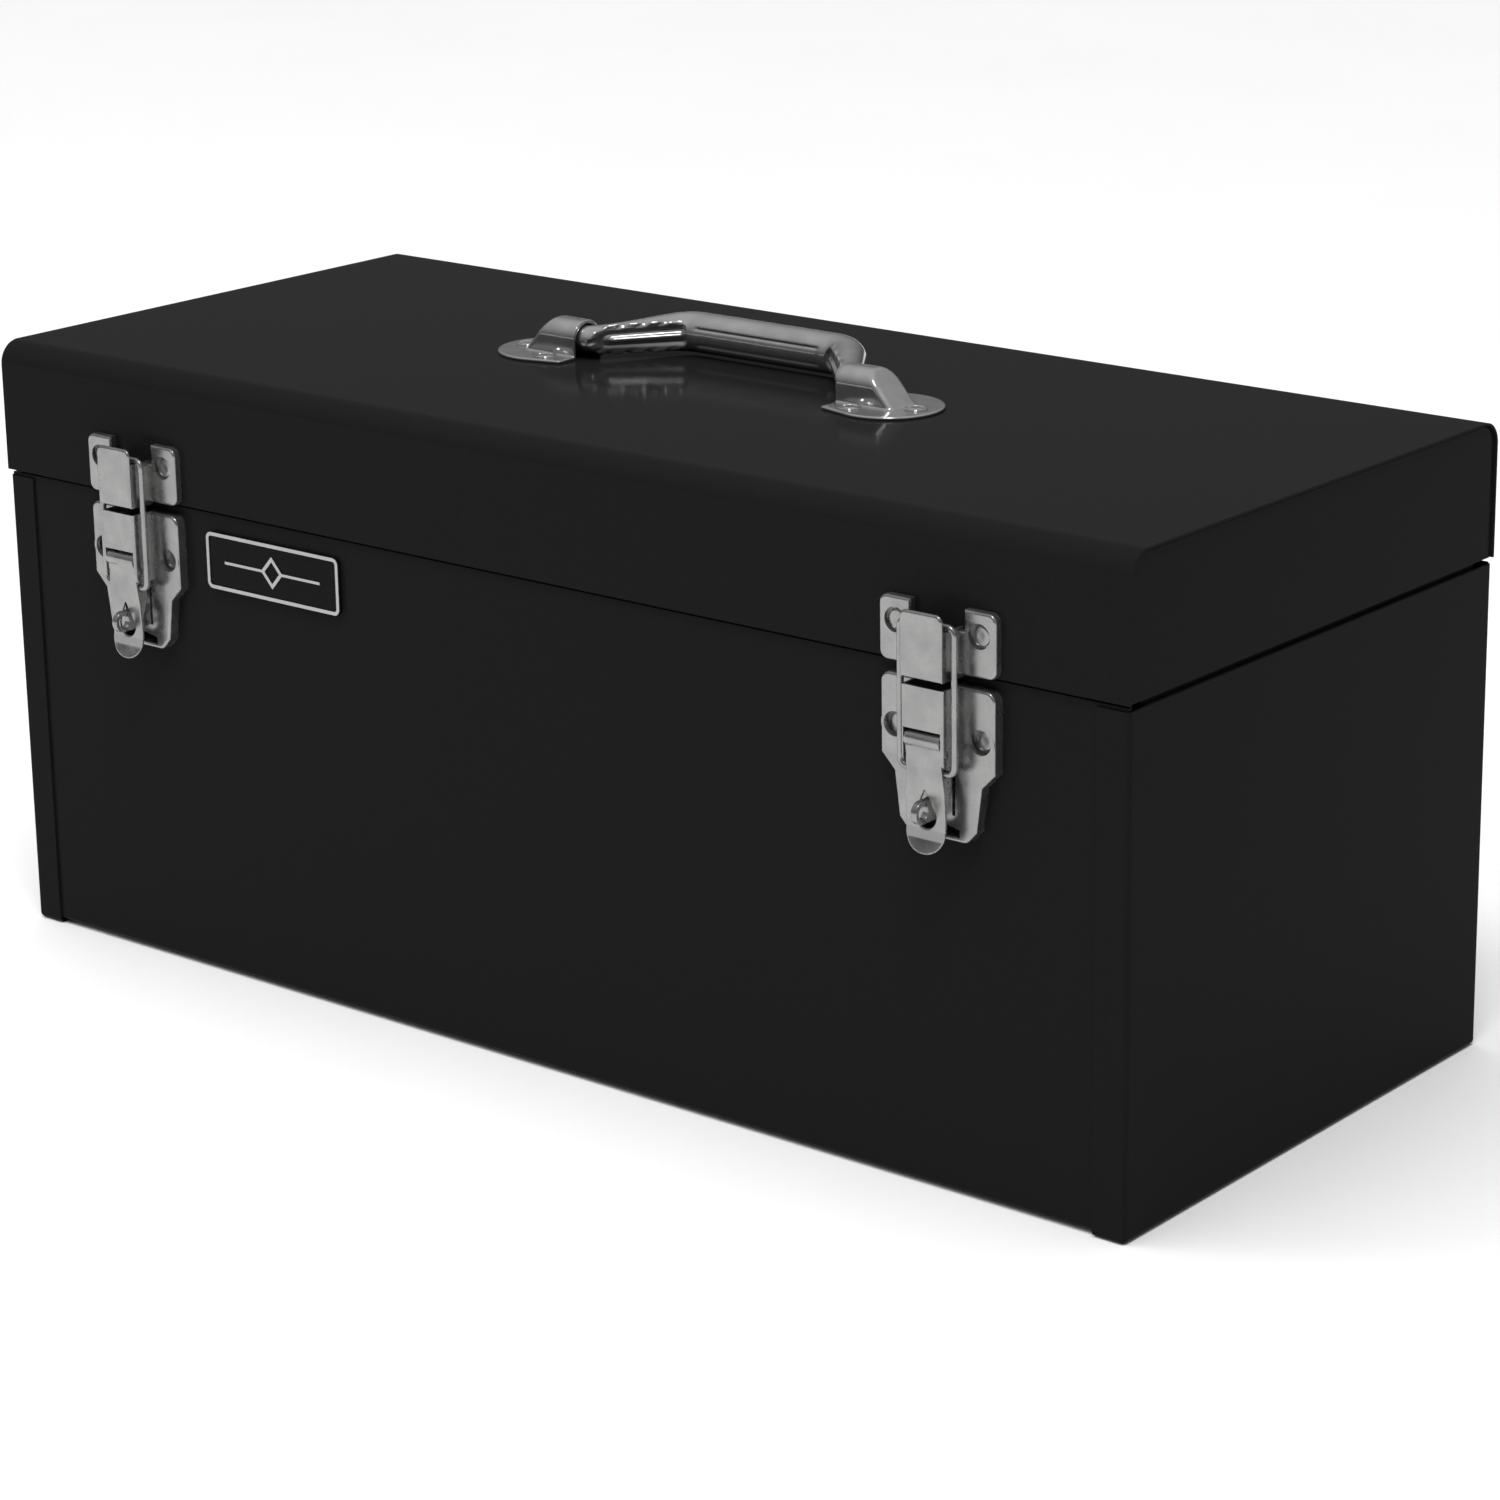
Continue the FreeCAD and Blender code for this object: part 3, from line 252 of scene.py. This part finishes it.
def bent_line(corners, radii, step):
    """Points about step apart, along straight runs joined by arcs of the given radii."""
    points = [corners[0]]
    for before, corner, after, radius in zip(corners, corners[1:], corners[2:], radii):
        into, out = (corner - before).normalized(), (after - corner).normalized()
        turn = into.angle(out)
        cut = radius * math.tan(turn / 2)
        centre = corner + (out - into).normalized() * (radius / math.cos(turn / 2))
        start = corner - into * cut
        axis = into.cross(out).normalized()
        pieces = max(2, round(turn * radius / step))
        for i in range(pieces + 1):
            points.append(centre + Matrix.Rotation(turn * i / pieces, 3, axis) @ (start - centre))
    points.append(corners[-1])
    filled = [points[0]]
    for a, b in zip(points, points[1:]):
        pieces = max(1, round((b - a).length / step))
        filled += [a.lerp(b, i / pieces) for i in range(1, pieces + 1)]
    return filled


def leg_recess(along, across, start, end):
    """How far the leg's pressed recess sinks, inside a notched bead and round a long rib."""
    away = math.hypot(max(start - along, along - end, 0), across)
    sink = RECESS_DEPTH * (1 - smooth_step(away, RECESS_HALF * RECESS_FLAT, RECESS_HALF))
    rib_away = math.hypot(
        max(start + RIB_INSET - along, along - end + RIB_INSET, 0), across)
    rib = RIB_HEIGHT * (1 - smooth_step(rib_away, RIB_CORE, RIB_EDGE))
    wave = math.cos(along / NOTCH_ALONG + across / NOTCH_ACROSS)
    beat = NOTCH_LEFT + (1 - NOTCH_LEFT) * smooth_step(wave, NOTCH_FROM, NOTCH_TO)
    bead = BEAD_HEIGHT * beat * math.exp(
        -((away - RECESS_HALF * BEAD_PLACE) / BEAD_WIDTH) ** 2)
    return sink - rib - bead


def grip_grooves(along, across, reach):
    """The two creases where the sheet's edges are rolled in, and the flat strip between them."""
    fade = 1 - smooth_step(abs(along), reach - CREASE_FADE, reach)
    crease = CREASE_DEPTH * math.exp(-((abs(across) - CREASE_PLACE) / CREASE_WIDTH) ** 2)
    strip = STRIP_DEPTH * (1 - smooth_step(abs(across), STRIP_EDGE, CREASE_PLACE))
    return fade * (crease + strip)


def make_handle():
    """A pressed steel handle: recessed legs, a creased grip, feet that turn in the hoods."""
    corners = [Vector(p) for p in (
        (-FOOT_END, 0, 0), (-FOOT_HALF, 0, 0), (-GRIP_HALF, REACH, 0),
        (GRIP_HALF, REACH, 0), (FOOT_HALF, 0, 0), (FOOT_END, 0, 0))]
    line = bent_line(corners, (HEEL_BEND, GRIP_BEND, GRIP_BEND, HEEL_BEND), LINE_STEP)
    ways = [0.0]
    for a, b in zip(line, line[1:]):
        ways.append(ways[-1] + (b - a).length)
    middle = ways[-1] / 2
    grip_end = GRIP_HALF - CREASES_SHORT
    leg_start = GRIP_HALF + RECESS_START
    leg_end = middle - (FOOT_END - FOOT_HALF) - RECESS_STOP
    up = Vector((0, 0, 1))
    mesh = bmesh.new()
    rings = []
    for i, (point, way) in enumerate(zip(line, ways)):
        ahead = (line[min(i + 1, len(line) - 1)] - line[max(i - 1, 0)]).normalized()
        inward = ahead.cross(up)
        along = abs(way - middle)
        taper = smooth_step(along, GRIP_HALF - TAPER_BEFORE, leg_end + TAPER_AFTER)
        radius = GRIP_RADIUS + (FOOT_RADIUS - GRIP_RADIUS) * taper
        ring = []
        for k in range(AROUND):
            angle = 2 * math.pi * k / AROUND
            turned = angle if angle < math.pi else angle - 2 * math.pi
            across = turned * radius
            sunk = radius
            if abs(turned) < PRESSED_HALF:
                sunk -= leg_recess(along, across, leg_start, leg_end)
                sunk -= grip_grooves(way - middle, across, grip_end)
            sunk = min(sunk, GRIP_RADIUS)
            ring.append(mesh.verts.new(
                point + (inward * math.cos(angle) + up * math.sin(angle)) * sunk))
        rings.append(ring)
    for a, b in zip(rings, rings[1:]):
        for k in range(AROUND):
            n = (k + 1) % AROUND
            mesh.faces.new((a[k], a[n], b[n], b[k]))
    mesh.faces.new(rings[0][::-1])
    mesh.faces.new(rings[-1])
    bmesh.ops.recalc_face_normals(mesh, faces=mesh.faces)
    hinge = next(j for j in frame["joints"] if j["name"] == "handle_swing")
    place = Vector(hinge["pos_m"]) + Vector((SLID, 0, 0))
    mesh.transform(Matrix.Translation(place) @ Matrix.Rotation(TILT, 4, "X"))
    return finish(mesh, "pressed_handle", "handle", "chrome_plate", ["handle"])


def finish(mesh, name, body, slot, replaced=()):
    """Turns a bmesh into a smooth piece with its finish, riding on its body."""
    data = bpy.data.meshes.new(name)
    mesh.to_mesh(data)
    mesh.free()
    data.polygons.foreach_set("use_smooth", [True] * len(data.polygons))
    data.materials.append(finishes[slot])
    piece = bpy.data.objects.new(name, data)
    bpy.context.collection.objects.link(piece)
    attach(piece, body)
    if replaced:
        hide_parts(*replaced)
    return piece


# ---------------------------------------------------------------- pressed sheet pieces

KEPT_FACES = 0.35
BRACKET_VOXEL, BRACKET_PASSES = 0.3 * MM, 10
LEVER_VOXEL, LEVER_PASSES = 0.22 * MM, 4


def press(node, body, slot, voxel, passes):
    """Stands in for a CAD node with the soft edges and blended corners of pressed steel."""
    data = frame["nodes"][node].data.copy()
    rough_cut = bpy.data.objects.new(node + "_cut", data)
    bpy.context.collection.objects.link(rough_cut)
    remesh = rough_cut.modifiers.new("remesh", "REMESH")
    remesh.mode, remesh.voxel_size = "VOXEL", voxel
    smooth = rough_cut.modifiers.new("smooth", "SMOOTH")
    smooth.factor, smooth.iterations = 0.5, passes
    rough_cut.modifiers.new("thin_out", "DECIMATE").ratio = KEPT_FACES
    evaluated = rough_cut.evaluated_get(bpy.context.evaluated_depsgraph_get())
    mesh = bmesh.new()
    mesh.from_mesh(evaluated.to_mesh())
    bpy.data.objects.remove(rough_cut)
    bpy.data.meshes.remove(data)
    finish(mesh, node + "_pressed", body, slot, [node])


def press_all():
    for hand, _ in HANDS:
        press(hand + "_bracket", "lid", "chrome_plate", BRACKET_VOXEL, BRACKET_PASSES)
        press(hand + "_lever", hand + "_lever", "nickel_plate", LEVER_VOXEL, LEVER_PASSES)


# ---------------------------------------------------------------- rivets

# Where they are and their profiles of (radius, height), in millimetres.
LATCH_PLACE = 184
KEEPER_ROW, KEEPER_SPREAD = 192, 16.5
BASE_ROW, BASE_SPREAD = 157.5, 17
BRACKET_SPOTS = ((70.5, 12), (70.5, -12), (90, 0))
FLAT_HEAD = [(3.5, 0), (3.5, 0.6), (3.3, 0.76), (2.4, 0.86), (1.2, 0.76), (0, 0.68)]
RINGED_HEAD = [(4.3, 0), (4.2, 0.5), (3.9, 0.62), (3.5, 0.62), (3.3, 0.5), (3.1, 0.06),
               (2.3, 0.06), (2.15, 0.5), (1.6, 0.56), (0.8, 0.5), (0, 0.47)]
SHANK_RADIUS = 1.55
TAIL_RADIUS = 2.6
TAIL_HEIGHT = 0.8
TAIL_CHAMFER = 0.3
HEAD_HEIGHT = 1.15 * MM     # from the seat to the top of the CAD head
RIVET_SIDES = 32


def lathe(mesh, profile, place, facing):
    """Turns a profile of (radius, height) millimetres about the facing direction."""
    turn = facing.to_track_quat("Z", "Y").to_matrix()
    rings = []
    for radius, height in profile:
        count = RIVET_SIDES if radius else 1
        rings.append([mesh.verts.new(place + turn @ Vector((
            radius * MM * math.cos(2 * math.pi * k / RIVET_SIDES),
            radius * MM * math.sin(2 * math.pi * k / RIVET_SIDES), height * MM)))
            for k in range(count)])
    for a, b in zip(rings, rings[1:]):
        for k in range(RIVET_SIDES):
            n = (k + 1) % RIVET_SIDES
            corners = [a[k % len(a)], a[n % len(a)], b[n % len(b)], b[k % len(b)]]
            mesh.faces.new(list(dict.fromkeys(corners)))


def make_rivets(node, body, slot, head, spots, facing):
    """Rivets of one group: spots are their axes, and the CAD group's box gives their depth."""
    low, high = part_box(node)
    if facing.z:
        seat, depth = high.z - HEAD_HEIGHT, (high.z - HEAD_HEIGHT - low.z) / MM
    else:
        seat, depth = low.y + HEAD_HEIGHT, (high.y - low.y - HEAD_HEIGHT) / MM
    tail = [(0, -depth), (TAIL_RADIUS - TAIL_CHAMFER, -depth),
            (TAIL_RADIUS, -depth + TAIL_CHAMFER), (TAIL_RADIUS, -depth + TAIL_HEIGHT),
            (SHANK_RADIUS, -depth + TAIL_HEIGHT), (SHANK_RADIUS, 0)]
    mesh = bmesh.new()
    for across, along in spots:
        place = Vector((across * MM, along * MM, seat) if facing.z
                       else (across * MM, seat, along * MM))
        lathe(mesh, tail + head, place, facing)
    bmesh.ops.recalc_face_normals(mesh, faces=mesh.faces)
    finish(mesh, node + "_turned", body, slot, [node])


def make_all_rivets():
    latches = [side * LATCH_PLACE for _, side in HANDS]
    front, up = Vector((0, -1, 0)), Vector((0, 0, 1))
    for node, body, row, spread in (("keeper_rivets", "lid", KEEPER_ROW, KEEPER_SPREAD),
                                    ("latch_base_rivets", "case", BASE_ROW, BASE_SPREAD)):
        spots = [(x + a, row) for x in latches for a in (-spread, spread)]
        make_rivets(node, body, "nickel_plate", FLAT_HEAD, spots, front)
    make_rivets("bracket_rivets", "lid", "chrome_plate", RINGED_HEAD,
                [(side * a, b) for _, side in HANDS for a, b in BRACKET_SPOTS], up)


# ---------------------------------------------------------------- studio

FLOOR_HALF = 6.0
FLOOR_DROP = 0.2 * MM
BACKDROP_RADIUS = 9.0


def stage_piece(name, mesh, material):
    data = bpy.data.meshes.new(name)
    mesh.to_mesh(data)
    mesh.free()
    data.materials.append(material)
    piece = bpy.data.objects.new(name, data)
    bpy.context.collection.objects.link(piece)
    return piece


def make_floor():
    mesh = bmesh.new()
    for x, y in ((-1, -1), (1, -1), (1, 1), (-1, 1)):
        mesh.verts.new((x * FLOOR_HALF, y * FLOOR_HALF, -FLOOR_DROP))
    mesh.faces.new(mesh.verts)
    stage_piece("floor", mesh, floor_paper())


def make_backdrop():
    """A plain white shell round the floor. It neither lights the object nor shows in it."""
    mesh = bmesh.new()
    bmesh.ops.create_uvsphere(mesh, u_segments=48, v_segments=24, radius=BACKDROP_RADIUS)
    white = Nodes("backdrop_white")
    white.fixed(Base_Color=(*grey(0), 1), Emission_Color=(*grey(1), 1), Emission_Strength=1.0)
    backdrop = stage_piece("backdrop", mesh, white.material)
    for rays in ("diffuse", "glossy", "transmission", "volume_scatter", "shadow"):
        setattr(backdrop, "visible_" + rays, False)


LIGHTS_AIM = (0, 0, 0.15)


def add_light(name, data, place, aim, mirrored):
    """A light at place, facing aim. Only a mirrored one shows in glossy surfaces."""
    light = bpy.data.objects.new(name, data)
    light.location = place
    light.rotation_euler = (Vector(aim) - Vector(place)).to_track_quat("-Z", "Y").to_euler()
    light.visible_glossy = mirrored
    bpy.context.collection.objects.link(light)


def soft_box(name, place, width, height, watts, mirrored):
    data = bpy.data.lights.new(name, "AREA")
    data.shape = "RECTANGLE"
    data.size, data.size_y, data.energy = width, height, watts
    add_light(name, data, place, LIGHTS_AIM, mirrored)


SUN_STRENGTH = 1.85
SUN_SPREAD = math.radians(70)
HORIZON = 0.05              # the sky's strength, level with the box
ZENITH = 0.50               # and overhead
ZENITH_FROM = 0.8           # the height on a unit sphere where the sky stops brightening
SKY_COLOUR = (0.99, 0.99, 1, 1)


def make_lights():
    """A bright even ceiling, a fill from the left, and a small lamp whose image the metal shows."""
    sun = bpy.data.lights.new("ceiling", "SUN")
    sun.energy, sun.angle = SUN_STRENGTH, SUN_SPREAD
    add_light("ceiling", sun, (-0.3, -0.4, 2), (0, 0, 0), mirrored=False)
    soft_box("left_fill", (-2.2, -1.6, 1.3), width=0.9, height=1.4, watts=16, mirrored=False)
    soft_box("overhead_lamp", (0.65, -0.8, 2.3), width=0.6, height=0.6, watts=17, mirrored=True)
    world = bpy.data.worlds.new("studio")
    world.use_nodes = True
    tree = world.node_tree
    way = tree.nodes.new("ShaderNodeTexCoord").outputs["Generated"]
    split = tree.nodes.new("ShaderNodeSeparateXYZ")
    climb = tree.nodes.new("ShaderNodeMapRange")
    climb.inputs["From Max"].default_value = ZENITH_FROM
    climb.inputs["To Min"].default_value = HORIZON
    climb.inputs["To Max"].default_value = ZENITH
    tree.links.new(way, split.inputs[0])
    tree.links.new(split.outputs["Z"], climb.inputs[0])
    tree.links.new(climb.outputs[0], tree.nodes["Background"].inputs["Strength"])
    tree.nodes["Background"].inputs["Color"].default_value = SKY_COLOUR
    bpy.context.scene.world = world


CAMERA_PLACE = (0.95755, -1.13283, 0.55953)
CAMERA_TURN = (38.381, 16.369, -0.494)      # azimuth, elevation and roll, in degrees
SENSOR_WIDTH, LENS = 36.0, 102.222
SHIFT = (-0.0667, -0.0634)


def make_camera():
    """The camera stands high at the front right, with a long lens."""
    azimuth, elevation, roll = (math.radians(a) for a in CAMERA_TURN)
    back = Vector((math.sin(azimuth) * math.cos(elevation),
                   -math.cos(azimuth) * math.cos(elevation), math.sin(elevation)))
    data = bpy.data.cameras.new("camera")
    data.sensor_width, data.lens = SENSOR_WIDTH, LENS
    data.shift_x, data.shift_y = SHIFT
    data.clip_start, data.clip_end = 0.01, 50
    camera = bpy.data.objects.new("camera", data)
    look = back.to_track_quat("Z", "Y").to_matrix().to_4x4()
    camera.matrix_world = (Matrix.Translation(CAMERA_PLACE)
                           @ look @ Matrix.Rotation(roll, 4, "Z"))
    bpy.context.collection.objects.link(camera)
    bpy.context.scene.camera = camera


paint_cad_nodes()
make_handle()
press_all()
make_all_rivets()
make_floor()
make_backdrop()
make_lights()
make_camera()
bpy.context.scene.view_settings.view_transform = "Standard"
